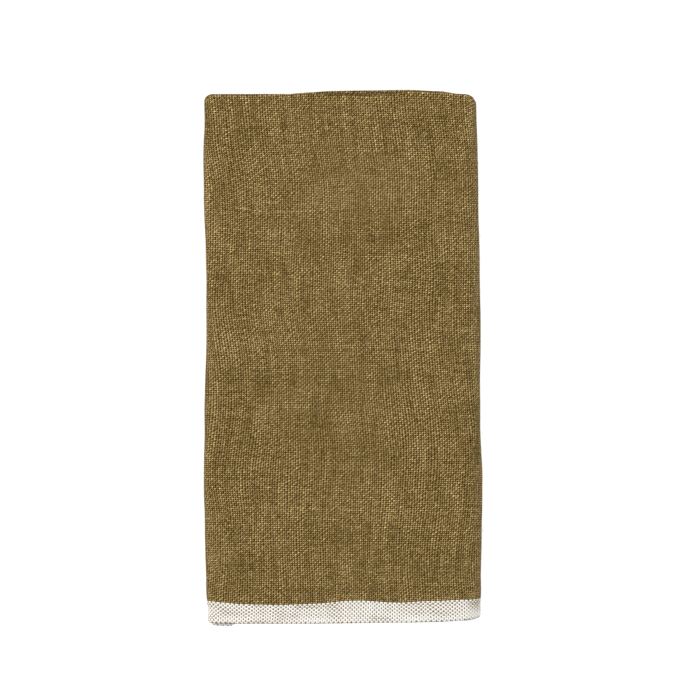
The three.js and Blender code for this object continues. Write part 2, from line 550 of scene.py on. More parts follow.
@dataclass
class Folding:
    """Carries points of the flat cloth to their places in the folded towel.

    A flat point is given by its reach along the ply from the first hem, its place across
    from the front selvedge, and its height off the middle of the cloth, on the outer side.
    """

    draft: Draft
    route: Route
    slip_reach: float = 110.0
    shift: np.ndarray = field(default_factory=lambda: np.zeros(3))

    def __post_init__(self) -> None:
        """Works out the ply's section and its settling."""
        self.fold_radius = self.route.layer_pitch / 2.0
        self.straight = (self.draft.width - math.pi * self.fold_radius) / 2.0
        self.fold_top = (self.straight + self.route.half_ply) / 2.0
        self.settling = Settling(self.route, self.fold_top)

    def offset(self, across: np.ndarray) -> np.ndarray:
        """How far the middle of the cloth is from the middle of the ply."""
        angle = np.clip((across - self.straight) / self.fold_radius, 0.0, math.pi)
        return self.fold_radius * np.cos(angle)

    def slip(self, across: np.ndarray) -> np.ndarray:
        """The offset that counts when the layers slide over each other in a turn."""
        from_fold = np.abs(across - self.draft.width / 2.0)
        return self.offset(across) * smooth_step(from_fold, 0.0, self.slip_reach)

    def reach_of(self, along: np.ndarray, across: float) -> np.ndarray:
        """The reach along the ply of places along one line of the cloth.

        Args:
            along: distances from the first hem, measured in the cloth.
            across: the line's place across the cloth.

        Returns:
            The reach of each place.
        """
        slip = float(self.slip(np.array([across]))[0])
        return np.interp(along, self.route.reach + slip * self.route.turned, self.route.reach)

    def carry(self, flat: np.ndarray) -> np.ndarray:
        """Folds flat points.

        Args:
            flat: reach, place across and height off the cloth's middle, one row a point.

        Returns:
            X, Y and Z of each point in metres, in the row's frame.
        """
        reach, across, lift = flat.T
        route = self.route
        angle = np.clip((across - self.straight) / self.fold_radius, 0.0, math.pi)
        whole = 2.0 * self.straight + math.pi * self.fold_radius
        past = np.where(across < self.straight, across, whole - across)
        past = np.minimum(past, self.straight)
        radius = self.fold_radius + lift
        y = -self.fold_top + past + radius * np.sin(angle)
        offset = radius * np.cos(angle)
        out_x = np.interp(reach, route.reach, route.out_x)
        out_z = np.interp(reach, route.reach, route.out_z)
        size = np.hypot(out_x, out_z)
        x = np.interp(reach, route.reach, route.x) + offset * out_x / size
        z = np.interp(reach, route.reach, route.z) + offset * out_z / size
        station = np.searchsorted(route.reach, reach - TINY)
        station = np.clip(station, 0, len(route.reach) - 1)
        levels = np.column_stack((
            route.level[station],
            route.next_level[station],
            np.interp(reach, route.reach, route.share) * (route.share[station] > 0.0),
        ))
        points = self.settling.settle(np.column_stack((x, y, z)), levels, np.cos(angle))
        return (points + self.shift) * MM


@dataclass
class YarnLie:
    """How the yarns lie in the cloth: leaning wefts, closer wefts, uneven bands.

    Places are in millimetres across from the front selvedge, or from the towel's middle.
    """

    draft: Draft
    route: Route
    folding: Folding
    edge: float = 0.35
    band_reach: float = 60.0
    lean_reach: float = 90.0
    lean: Table = (
        (0.0, 0.0),
        (34.6, 0.55),
        (51.0, 0.85),
        (83.9, 0.0),
        (116.7, -0.6),
        (149.5, -1.7),
        (182.3, -3.7),
        (228.5, -5.9),
        (290.0, -4.5),
        (457.0, 0.0),
    )
    closeness: Table = (
        (-54.0, 0.0),
        (-38.0, -0.3),
        (-22.0, -0.2),
        (-6.0, -0.3),
        (10.0, -0.5),
        (26.0, -0.9),
        (42.0, -1.3),
        (58.0, -0.2),
    )
    band: Table = (
        (-57.7, 9.5),
        (-52.1, 8.8),
        (-44.3, 8.3),
        (-29.2, 8.1),
        (-12.8, 8.5),
        (3.2, 9.8),
        (5.4, 9.8),
        (22.6, 8.7),
        (34.7, 9.2),
        (46.4, 9.2),
        (58.0, 9.0),
    )

    def counts(self, reach: np.ndarray, across: np.ndarray) -> np.ndarray:
        """Counts the yarns from the first hem and from the front selvedge.

        Args:
            reach: each point's reach along the ply.
            across: its place across the cloth.

        Returns:
            Weft and warp counts, one row a point.
        """
        turned = np.interp(reach, self.route.reach, self.route.turned)
        x = np.interp(reach, self.route.reach, self.route.x)
        along = reach + self.folding.slip(across) * turned
        leaning = self._leaning(reach, across)
        closer = np.interp(x, *zip(*self.closeness))
        heading = np.interp(reach, self.route.reach, self.route.out_z)
        weft = (along - leaning) / self.draft.weft_pitch + closer * heading

        pitch = self.draft.warp_pitch
        from_front = across - self.edge
        from_rear = self.draft.width - self.edge - across
        wide = eased(self.band, x)
        extra = self.draft.band_ends - wide / pitch
        warp = from_front / pitch
        warp += extra * self._band_share(from_front, wide)
        warp -= extra * self._band_share(from_rear, wide)
        return np.column_stack((weft, warp))

    def _leaning(self, reach: np.ndarray, across: np.ndarray) -> np.ndarray:
        """How far the wefts lean: as on the front, dying away in the layers past its folds.

        Args:
            reach: each point's reach along the ply.
            across: its place across the cloth.

        Returns:
            The lean at each point, in millimetres.
        """
        route = self.route
        front = route.reach[np.maximum(route.level, route.next_level) == route.top_level]
        beyond = np.maximum(front.min() - reach, reach - front.max())
        share = 1.0 - smooth_step(beyond, 0.0, self.lean_reach)
        return np.interp(across, *zip(*self.lean)) * share

    def _band_share(self, inside: np.ndarray, wide: np.ndarray) -> np.ndarray:
        """How much of the band's own widening is felt at a distance inside the selvedge."""
        fading = np.clip((inside - wide) / (self.band_reach - wide), 0.0, 1.0)
        return np.clip(inside / wide, 0.0, 1.0) * (1.0 - fading) ** 2

    @property
    def warp_ends(self) -> float:
        """How many warp yarns lie side by side from selvedge to selvedge."""
        return (self.draft.width - 2.0 * self.edge) / self.draft.warp_pitch

    def front_counts(self, x: float, y: float) -> tuple[float, float]:
        """Yarn counts at a place on the front layer, measured from the towel's middle.

        Args:
            x: how far the place is to the right.
            y: how far it is up.

        Returns:
            Its weft and warp counts.
        """
        route = self.route
        falling = (route.level == route.top_level) & (route.share <= 0.5)
        rising = (route.next_level == route.top_level) & (route.share >= 0.5)
        top = falling | rising
        order = np.argsort(route.x[top])
        reach = float(np.interp(x, route.x[top][order], route.reach[top][order]))
        across = y + self.folding.fold_top
        weft, warp = self.counts(np.array([reach]), np.array([across]))[0]
        return float(weft), float(warp)


def maths_method(operation: str, swapped: bool = False) -> Callable[..., "Signal"]:
    """Makes a method of Signal that adds one Math node.

    Args:
        operation: the node's operation.
        swapped: whether the other value comes first, as in a reflected form.

    Returns:
        The method.
    """

    def method(first: "Signal", *others: "Term") -> "Signal":
        """Adds the Math node."""
        terms = (*others, first) if swapped else (first, *others)
        return first.bench.maths(operation, *terms)

    return method


class Signal:
    """A value in a material's nodes, so that shader maths reads as arithmetic."""

    def __init__(self, bench: "Bench", socket: bpy.types.NodeSocket) -> None:
        """Wraps a node's output socket."""
        self.bench = bench
        self.socket = socket

    __add__ = maths_method("ADD")
    __radd__ = __add__
    __sub__ = maths_method("SUBTRACT")
    __rsub__ = maths_method("SUBTRACT", swapped=True)
    __mul__ = maths_method("MULTIPLY")
    __rmul__ = __mul__
    __truediv__ = maths_method("DIVIDE")
    __rtruediv__ = maths_method("DIVIDE", swapped=True)
    __mod__ = maths_method("FLOORED_MODULO")
    __pow__ = maths_method("POWER")
    __gt__ = maths_method("GREATER_THAN")
    __lt__ = maths_method("LESS_THAN")
    __abs__ = maths_method("ABSOLUTE")
    floor = maths_method("FLOOR")
    cos = maths_method("COSINE")
    sin = maths_method("SINE")
    exp = maths_method("EXPONENT")
    greater = maths_method("MAXIMUM")
    lesser = maths_method("MINIMUM")

    def bell(self) -> "Signal":
        """1 where this value is 0, falling off on both sides like a bell."""
        return (self * self * -1.0).exp()

    def ramp(self, low: float, high: float) -> "Signal":
        """Rises smoothly from 0 at low to 1 at high."""
        return self.bench.signal(
            "ShaderNodeMapRange",
            {"interpolation_type": "SMOOTHSTEP"},
            {"Value": self, "From Min": low, "From Max": high, "To Min": 0.0, "To Max": 1.0},
        )


Term = Union[Signal, float]
SocketValue = Union[Signal, bpy.types.NodeSocket, float, tuple, Vector]


class Bench:
    """Makes a material's nodes."""

    def __init__(self, name: str) -> None:
        """Starts a material with an empty node tree."""
        self.material = bpy.data.materials.new(name)
        self.material.use_nodes = True
        self.tree = self.material.node_tree
        self.tree.nodes.clear()

    def node(
        self,
        kind: str,
        settings: Optional[dict[str, object]] = None,
        sockets: Optional[dict[Union[str, int], SocketValue]] = None,
    ) -> bpy.types.Node:
        """Adds a node.

        Args:
            kind: the node's type.
            settings: its properties, set before its sockets.
            sockets: the values or links of its inputs, by name or number.

        Returns:
            The new node.
        """
        node = self.tree.nodes.new(kind)
        for key, value in (settings or {}).items():
            setattr(node, key, value)
        for key, value in (sockets or {}).items():
            socket = node.inputs[key]
            if isinstance(value, Signal):
                value = value.socket
            if isinstance(value, bpy.types.NodeSocket):
                self.tree.links.new(value, socket)
            else:
                socket.default_value = value
        return node

    def signal(
        self,
        kind: str,
        settings: Optional[dict[str, object]] = None,
        sockets: Optional[dict[Union[str, int], SocketValue]] = None,
        output: Union[str, int] = 0,
    ) -> Signal:
        """Adds a node and wraps one of its outputs."""
        return Signal(self, self.node(kind, settings, sockets).outputs[output])

    def maths(self, operation: str, *terms: Term) -> Signal:
        """Adds a Math node for one operation on its terms."""
        sockets = dict(enumerate(terms))
        return self.signal("ShaderNodeMath", {"operation": operation}, sockets)

    def vector(self, x: Term, y: Term, z: Term = 0.0) -> bpy.types.NodeSocket:
        """Joins three values to a vector."""
        node = self.node("ShaderNodeCombineXYZ", None, {"X": x, "Y": y, "Z": z})
        return node.outputs["Vector"]

    def noise(self, x: Term, y: Term, seed: float, detail: float = 0.0) -> Signal:
        """Smooth noise about 0 with a spread of about 1, in the plane of two values.

        Args:
            x: the first value.
            y: the second value.
            seed: sets this noise apart from others.
            detail: how many finer layers it has.

        Returns:
            The noise.
        """
        fac = self.signal(
            "ShaderNodeTexNoise",
            {"noise_dimensions": "3D"},
            {"Vector": self.vector(x, y, seed), "Scale": 1.0, "Detail": detail,
             "Roughness": NOISE_ROUGHNESS},
        )
        return (fac - 0.5) * NOISE_SPREAD

    def grain(self, a: Term, b: Term, grain: "Grain") -> Signal:
        """Smooth noise in the plane of the yarn counts."""
        return self.noise(a * grain.a, b * grain.b, grain.seed)

    def chance(self, x: Term, y: Term) -> Signal:
        """A separate random value from -1 to 1 for each pair of whole numbers.

        Args:
            x: the first number.
            y: the second number.

        Returns:
            The random value.
        """
        fac = self.signal(
            "ShaderNodeTexWhiteNoise",
            {"noise_dimensions": "2D"},
            {"Vector": self.vector(x, y)},
            "Value",
        )
        return fac * 2.0 - 1.0

    def blend(self, share: Term, first: SocketValue, second: SocketValue) -> bpy.types.NodeSocket:
        """Mixes two colours.

        Args:
            share: how much of the second colour.
            first: the first colour.
            second: the second colour.

        Returns:
            The mixed colour.
        """
        settings = {"data_type": "RGBA", "clamp_factor": True}
        first_colour, second_colour, mixed = 6, 7, 2
        values = {0: share, first_colour: first, second_colour: second}
        return self.node("ShaderNodeMix", settings, values).outputs[mixed]

    def finish(self, surface: dict[str, SocketValue]) -> bpy.types.Material:
        """Ends the material in a surface with the given values.

        Args:
            surface: the values of the surface's sockets.

        Returns:
            The finished material.
        """
        shader = self.node("ShaderNodeBsdfPrincipled", None, surface)
        self.node("ShaderNodeOutputMaterial", None, {"Surface": shader.outputs[0]})
        return self.material

    def bumpy(
        self,
        colour: SocketValue,
        roughness: float,
        height: Signal,
        depth: float,
        strength: float = 1.0,
    ) -> bpy.types.Material:
        """Ends the material in a matt surface with a bump.

        Args:
            colour: its colour.
            roughness: its roughness.
            height: the bump's height.
            depth: how deep a height of 1 is, in millimetres.
            strength: how far the bump turns the light.

        Returns:
            The finished material.
        """
        bump = self.node(
            "ShaderNodeBump",
            None,
            {"Strength": strength, "Distance": depth * MM, "Height": height},
        )
        return self.finish({"Base Color": colour, "Roughness": roughness,
                            "Normal": bump.outputs[0], "Specular IOR Level": SPECULAR})


@dataclass(frozen=True)
class Grain:
    """Smooth noise over the yarns: how fast it goes by each count, and its seed."""

    a: float
    b: float
    seed: float


class YarnWay(Enum):
    """Which way a yarn runs: the warp across the folded towel, the weft up it."""

    WARP = "warp"
    WEFT = "weft"


@dataclass(frozen=True)
class Streak:
    """A lighter or darker stretch on the front: most are yarn tone, some painted light or shade.
    Millimetres from the middle.
    """

    way: YarnWay
    x: float
    y: float
    half_length: float
    half_width: float
    tone: float


STREAKS_AND_PAINTED_LIGHT: tuple[Streak, ...] = (
    Streak(YarnWay.WARP, -32.0, 65.1, 20.0, 0.45, 0.34),
    Streak(YarnWay.WARP, 5.0, -64.5, 58.0, 0.42, 0.22),
    Streak(YarnWay.WARP, 21.0, -39.4, 38.0, 0.9, 0.08),
    Streak(YarnWay.WARP, 0.0, 31.9, 42.0, 0.9, 0.06),
    Streak(YarnWay.WARP, 0.0, -9.2, 62.0, 1.6, -0.07),
    Streak(YarnWay.WARP, 0.0, -87.8, 62.0, 1.4, -0.06),
    Streak(YarnWay.WARP, 0.0, -98.6, 62.0, 1.2, -0.05),
    Streak(YarnWay.WARP, -20.0, 81.5, 36.0, 1.2, -0.05),
    # Painted shadow: the dark line in the gap between the front fold's crest and the fold behind it
    Streak(YarnWay.WARP, 7.5, 113.8, 24.0, 0.75, -0.9),
    Streak(YarnWay.WEFT, 30.0, 87.0, 24.0, 2.6, 0.12),
    Streak(YarnWay.WEFT, 30.0, 55.0, 14.0, 2.2, 0.06),
    Streak(YarnWay.WEFT, 21.3, -70.0, 24.0, 2.0, 0.06),
    Streak(YarnWay.WEFT, -51.2, -70.0, 34.0, 0.6, 0.14),
    Streak(YarnWay.WEFT, 0.2, 0.0, 110.0, 0.8, 0.06),
    Streak(YarnWay.WEFT, 55.0, 82.0, 18.0, 2.6, -0.08),
    # Painted light on the side folds: lighter up the left edge, more so up the right, where the key
    # light leaves the fold in shade
    Streak(YarnWay.WEFT, -57.5, 0.0, 140.0, 3.2, 0.13),
    Streak(YarnWay.WEFT, 57.5, 0.0, 140.0, 4.6, 0.28),
    Streak(YarnWay.WEFT, 48.0, 96.0, 14.0, 3.2, -0.05),
)


Colour = tuple[float, float, float, float]


@dataclass(frozen=True)
class YarnColours:
    """A yarn's colour from dark to light: painted shade to painted highlight in the weave, random
    tone in a bare yarn.
    """

    deep: Colour
    middle: Colour
    high: Colour


FIBRE_COLOURS = YarnColours(
    (0.24, 0.17, 0.075, 1.0),
    (0.40, 0.31, 0.16, 1.0),
    (0.58, 0.49, 0.30, 1.0),
)
FIBRE_ROUGHNESS = 0.8


@dataclass(frozen=True)
class WeaveFinish:
    """The coarse plain weave, ochre all over with white warp yarns in the bands, its colour holding
    painted light and shade.
    """

    draft: Draft
    lie: YarnLie
    name: str = "woven_cloth"
    ochre: YarnColours = YarnColours(
        (0.012, 0.004, 0.0002, 1.0),
        (0.215, 0.131, 0.028, 1.0),
        (0.800, 0.585, 0.262, 1.0),
    )
    white: YarnColours = YarnColours(
        (0.45, 0.37, 0.22, 1.0),
        (0.96, 0.94, 0.88, 1.0),
        (0.99, 0.985, 0.97, 1.0),
    )
    drift_grains: tuple[Grain, Grain] = (Grain(0.0185, 0.0155, 3.0), Grain(0.0185, 0.0155, 5.0))
    weft_wander_grain: Grain = Grain(0.28, 0.037, 7.0)
    warp_wander_grain: Grain = Grain(0.044, 0.23, 9.0)
    weft_slub_grain: Grain = Grain(0.32, 0.052, 13.0)
    warp_slub_grain: Grain = Grain(0.063, 0.26, 17.0)
    fibre_grain: Grain = Grain(1.7, 1.4, 29.0)
    fine_grain: Grain = Grain(0.74, 0.61, 37.0)
    cloud_grain: Grain = Grain(0.045, 0.037, 31.0)
    weft_seed: float = 11.0
    warp_seed: float = 23.0
    brightest: float = 4.0
    # Painted light and shade: the painted key light's direction, the slope it reads, the painted
    # diagonal, and the painted light's floor and gain
    painted_light_from: tuple[float, float, float] = (-0.596, 0.662, 0.454)
    relief: float = 0.69
    painted_slant_shade: float = 0.17
    shade_floor: float = 0.07
    shade_gain: float = 1.9
    white_shade: float = 0.04
    see_through: float = 0.12
    band_bump: float = 0.35
    band_square: float = 1.15
    drift: float = 1.0
    weft_wander: float = 0.12
    warp_wander: float = 0.16
    own: float = 0.085
    slub: float = 0.17
    weft_half: float = 0.43
    warp_half: float = 0.427
    weft_rise: float = 0.62
    warp_rise: float = 1.3
    weft_lift: float = 0.51
    band_lift: float = 0.95
    edge_lift: float = 1.15
    band_wander: float = 0.2
    band_stray: float = 0.06
    calm_reach: tuple[float, float] = (6.0, 40.0)
    bead_reach: tuple[float, float] = (0.15, 0.9)
    bead_cover: float = 0.5
    streak_fade: tuple[float, float] = (0.75, 1.1)
    weft_skew: float = 0.77
    warp_skew: float = 0.044
    lowest: float = -1.57
    just_above: float = 0.001
    weft_tone: float = 0.02
    warp_tone: float = 0.098
    # Painted shade in the hollows between the yarns
    painted_hollow_shade: float = 0.2
    float_tone: float = 0.17
    fibre_tone: float = 0.076
    fine_tone: float = 0.19
    slub_tone: float = 0.07
    cloud_tone: float = 0.04
    bump_depth: float = 0.14
    roughness: float = 0.92

    def _tint(self, bench: "Bench", colours: YarnColours, bright: Signal) -> bpy.types.NodeSocket:
        """A yarn's colour where its brightness is as given, 1 being its middle colour."""
        colour = bench.blend(bright, colours.deep, colours.middle)
        return bench.blend((bright - 1.0) / (self.brightest - 1.0), colour, colours.high)

    def _streak(self, bench: "Bench", a: Signal, b: Signal, streak: Streak) -> Signal:
        """The tone that a streak adds.

        Args:
            bench: the material's nodes.
            a: weft count.
            b: warp count.
            streak: the streak.

        Returns:
            Its tone, 0 away from it.
        """
        weft, warp = self.lie.front_counts(streak.x, streak.y)
        weft_mm, warp_mm = self.draft.weft_pitch, self.draft.warp_pitch
        if streak.way is YarnWay.WARP:
            across = (b - warp) * (warp_mm / streak.half_width)
            along = abs(a - weft) * (weft_mm / streak.half_length)
        else:
            across = (a - weft) * (weft_mm / streak.half_width)
            along = abs(b - warp) * (warp_mm / streak.half_length)
        return across.bell() * (1.0 - along.ramp(*self.streak_fade)) * streak.tone

    def material(self) -> bpy.types.Material:
        """Builds the material.

        Returns:
            The finished material.
        """
        bench = Bench(self.name)
        yarns = bench.node("ShaderNodeUVMap", {"uv_map": YARN_MAP})
        split = bench.node("ShaderNodeSeparateXYZ", None, {0: yarns.outputs[0]})
        a = Signal(bench, split.outputs[0]) * COUNTS_PER_UNIT
        b = Signal(bench, split.outputs[1]) * COUNTS_PER_UNIT

        # The cloth drifts, and each yarn wanders a little along its own length
        drift_a, drift_b = (bench.grain(a, b, grain) for grain in self.drift_grains)
        weft_wander = bench.grain(a, b, self.weft_wander_grain)
        warp_wander = bench.grain(a, b, self.warp_wander_grain)
        inside = b.ramp(*self.calm_reach) * (self.lie.warp_ends - b).ramp(*self.calm_reach)
        a = a + drift_a * self.drift + weft_wander * self.weft_wander
        strayed = drift_b * self.drift + warp_wander * self.warp_wander
        b = b + strayed * inside + warp_wander * (1.0 - inside) * self.band_stray
        weft = a.floor()
        warp = b.floor()
        beside_weft = a - weft - 0.5
        beside_warp = b - warp - 0.5

        # Yarns differ in thickness, and thicken and thin along their length
        weft_own = bench.chance(weft, self.weft_seed)
        warp_own = bench.chance(warp, self.warp_seed)
        weft_slub = bench.grain(a, b, self.weft_slub_grain)
        warp_slub = bench.grain(a, b, self.warp_slub_grain)
        weft_half = self.weft_half * (1.0 + weft_own * self.own + weft_slub * self.slub)
        warp_half = self.warp_half * (1.0 + warp_own * self.own + warp_slub * self.slub)

        # Heights and slopes of the two yarns, each over the other in turn; the slopes serve only
        # the painted key light below
        band_ends = float(self.draft.band_ends)
        band = (b < band_ends) + (b > self.lie.warp_ends - band_ends)
        weft_turn = 1.0 - (weft % 2.0) * 2.0
        warp_turn = 1.0 - (warp % 2.0) * 2.0
        weft_skew = (1.0 - band * self.band_square) * self.weft_skew
        in_weft = (beside_weft - beside_warp * weft_skew) / weft_half
        in_warp = (beside_warp + beside_weft * self.warp_skew) / warp_half
        weft_swing = (b * math.pi).sin() * weft_turn * self.weft_rise
        warp_swing = (a * math.pi).sin() * warp_turn * -self.warp_rise
        from_edge = b.lesser(self.lie.warp_ends - b) / band_ends
        covered = self.band_lift + (1.0 - from_edge) * self.edge_lift
        covered = covered + warp_slub * self.band_wander
        past_beads = (from_edge * band_ends).ramp(*self.bead_reach)
        covered = covered * (past_beads * (1.0 - self.bead_cover) + self.bead_cover)
        weft_height = weft_swing + self.weft_lift - band * covered - in_weft * in_weft
        warp_height = warp_swing - in_warp * in_warp
        height = weft_height.greater(warp_height).greater(self.lowest)
        weft_shows = weft_height > warp_height
        warp_shows = 1.0 - weft_shows

        weft_bend = in_weft / weft_half * weft_skew * 2.0
        warp_bend = in_warp / warp_half * (2.0 * self.warp_skew)
        weft_climb = (b * math.pi).cos() * weft_turn * (math.pi * self.weft_rise) + weft_bend
        warp_climb = (a * math.pi).cos() * warp_turn * (-math.pi * self.warp_rise) - warp_bend
        slope_a = in_weft / weft_half * weft_shows * -2.0 + warp_climb * warp_shows
        slope_b = in_warp / warp_half * warp_shows * -2.0 + weft_climb * weft_shows
        above = height > self.lowest + self.just_above
        slope_a = slope_a * above * (self.relief / self.draft.weft_pitch)
        slope_b = slope_b * above * (self.relief / self.draft.warp_pitch)
        # Painted key light: a float's side towards the upper left is painted lighter, its far side
        # darker
        toward_a, toward_b, toward_up = self.painted_light_from
        facing = toward_up - slope_a * toward_a - slope_b * toward_b
        steep = (slope_a * slope_a + slope_b * slope_b + 1.0) ** 0.5
        lit = (facing / steep).greater(0.0)

        # Light and dark of the yarns: random tone of each yarn, float and fibre, painted shade in
        # the hollows, streaks, a painted diagonal and the painted key light
        float_own = bench.chance(weft + 0.5, warp + 0.5)
        weft_light = weft_own * self.weft_tone + weft_slub * self.slub_tone
        warp_light = warp_own * self.warp_tone + warp_slub * self.slub_tone
        own = weft_light * weft_shows + warp_light * warp_shows
        fibre = bench.grain(a, b, self.fibre_grain)
        fine = bench.grain(a, b, self.fine_grain)
        cloud = bench.grain(a, b, self.cloud_grain)
        # Painted shade: the lower a point sits between the yarns, the darker
        tone = height * self.painted_hollow_shade + own + float_own * self.float_tone
        tone = tone + fibre * self.fibre_tone + fine * self.fine_tone
        tone = tone + cloud * self.cloud_tone
        for streak in STREAKS_AND_PAINTED_LIGHT:
            tone = tone + self._streak(bench, a, b, streak)
        # Painted diagonal shade, standing in for the key light on the leaning floats
        tone = tone - ((a - b) * math.pi).sin() * self.painted_slant_shade
        # The painted key light scales the tone, and the colour ramps from painted shade to painted
        # highlight
        bright = (lit + self.shade_floor) * tone.exp() * self.shade_gain
        ochre = self._tint(bench, self.ochre, bright)
        white = self._tint(bench, self.white, bright * self.white_shade + 1.0 - self.white_shade)
        is_white = band * (warp_shows + weft_shows * self.see_through)
        colour = bench.blend(is_white, ochre, white)

        raised = height * (1.0 - band * (1.0 - self.band_bump))
        return bench.bumpy(colour, self.roughness, raised, self.bump_depth)


@dataclass
class BakeSheet:
    """How the cloth is spread over the unit square that its finish can be baked to.

    The front layer, its folds and the back layer get most of it. The other side of the
    cloth lies in a strip along the bottom, the selvedges between them, the hems at the sides.
    """

    draft: Draft
    route: Route
    folding: Folding
    hem_strip: float = 0.01
    hem_shares: tuple[float, float] = (0.1, 0.7)
    shown_side: tuple[float, float] = (0.16, 0.995)
    hidden_side: tuple[float, float] = (0.03, 0.14)
    edge_strips: tuple[tuple[float, float], ...] = ((0.143, 0.149), (0.151, 0.157))
    front_weight: float = 6.0
    back_weight: float = 3.6
    rear_weight: float = 0.1

    def _spread(self, stations: np.ndarray, weights: np.ndarray) -> np.ndarray:
        """Shares out 0 to 1 over stations, each step by its length and weight.

        Args:
            stations: places in rising order.
            weights: how much room each one gets.

        Returns:
            Each station's place from 0 to 1.
        """
        steps = np.diff(stations) * (weights[1:] + weights[:-1]) / 2.0
        reached = np.concatenate(([0.0], np.cumsum(steps)))
        return reached / reached[-1]

    def along(self, columns: np.ndarray) -> np.ndarray:
        """Where each column of the mesh lies across the square.

        Args:
            columns: stations of the route.

        Returns:
            Their places from 0 to 1.
        """
        route = self.route
        top = route.top_level
        near_top = np.maximum(route.level, route.next_level) == top
        near_floor = np.minimum(route.level, route.next_level) == 0
        weights = np.where(near_floor, self.back_weight, 1.0)
        weights = np.where(near_top, self.front_weight, weights)
        share = self._spread(route.reach, weights)
        return self.hem_strip + share[columns] * (1.0 - 2.0 * self.hem_strip)

    def up(self, rows: np.ndarray, places: np.ndarray) -> np.ndarray:
        """How far up its side's strip each row of the mesh lies."""
        turned = self.folding.straight + math.pi * self.folding.fold_radius
        return self._spread(places, np.where(places > turned, self.rear_weight, 1.0))[rows]

    def lay(
        self,
        mesh: bpy.types.Mesh,
        columns: np.ndarray,
        rows: np.ndarray,
        places: np.ndarray,
    ) -> None:
        """Adds the map to the thick cloth.

        Args:
            mesh: the cloth's mesh, its first half one side and its second half the other.
            columns: which station of the route each point of one side is at.
            rows: which row across the cloth it is in.
            places: each row's place across the cloth.
        """
        count = len(columns)
        corners = read_values(mesh.loops, "vertex_index", kind=int)
        starts = read_values(mesh.polygons, "loop_start", kind=int)
        totals = read_values(mesh.polygons, "loop_total", kind=int)
        second = corners >= count
        second_share = np.add.reduceat(second * 1.0, starts) / totals
        face_second = np.repeat(second_share, totals)
        column, row = columns[corners % count], rows[corners % count]
        across = self.along(column)
        share = self.up(row, places)
        low, high = self.shown_side
        shown = low + share * (high - low)
        low, high = self.hidden_side
        hidden = low + share * (high - low)
        up = np.where(face_second > 0.5, hidden, shown)
        rim = (face_second > 0.0) & (face_second < 1.0)
        last_row, last_column = rows.max(), columns.max()
        front_face = np.repeat(np.maximum.reduceat(row, starts), totals) == 0
        rear_face = np.repeat(np.minimum.reduceat(row, starts), totals) == last_row
        for is_edge, strip in ((front_face, self.edge_strips[0]), (rear_face, self.edge_strips[1])):
            edge = rim & is_edge
            up = np.where(edge, np.where(second, strip[0], strip[1]), up)
        hem = rim & ~front_face & ~rear_face
        near_side, near_cloth = self.hem_shares
        hem_share = np.where(second, near_side, near_cloth) * self.hem_strip
        left = column < last_column / 2.0
        across = np.where(hem, np.where(left, hem_share, 1.0 - hem_share), across)
        up = np.where(hem, shown, up)
        layer = mesh.uv_layers.new(name=BAKE_MAP)
        layer.data.foreach_set("uv", np.column_stack((across, up)).ravel())


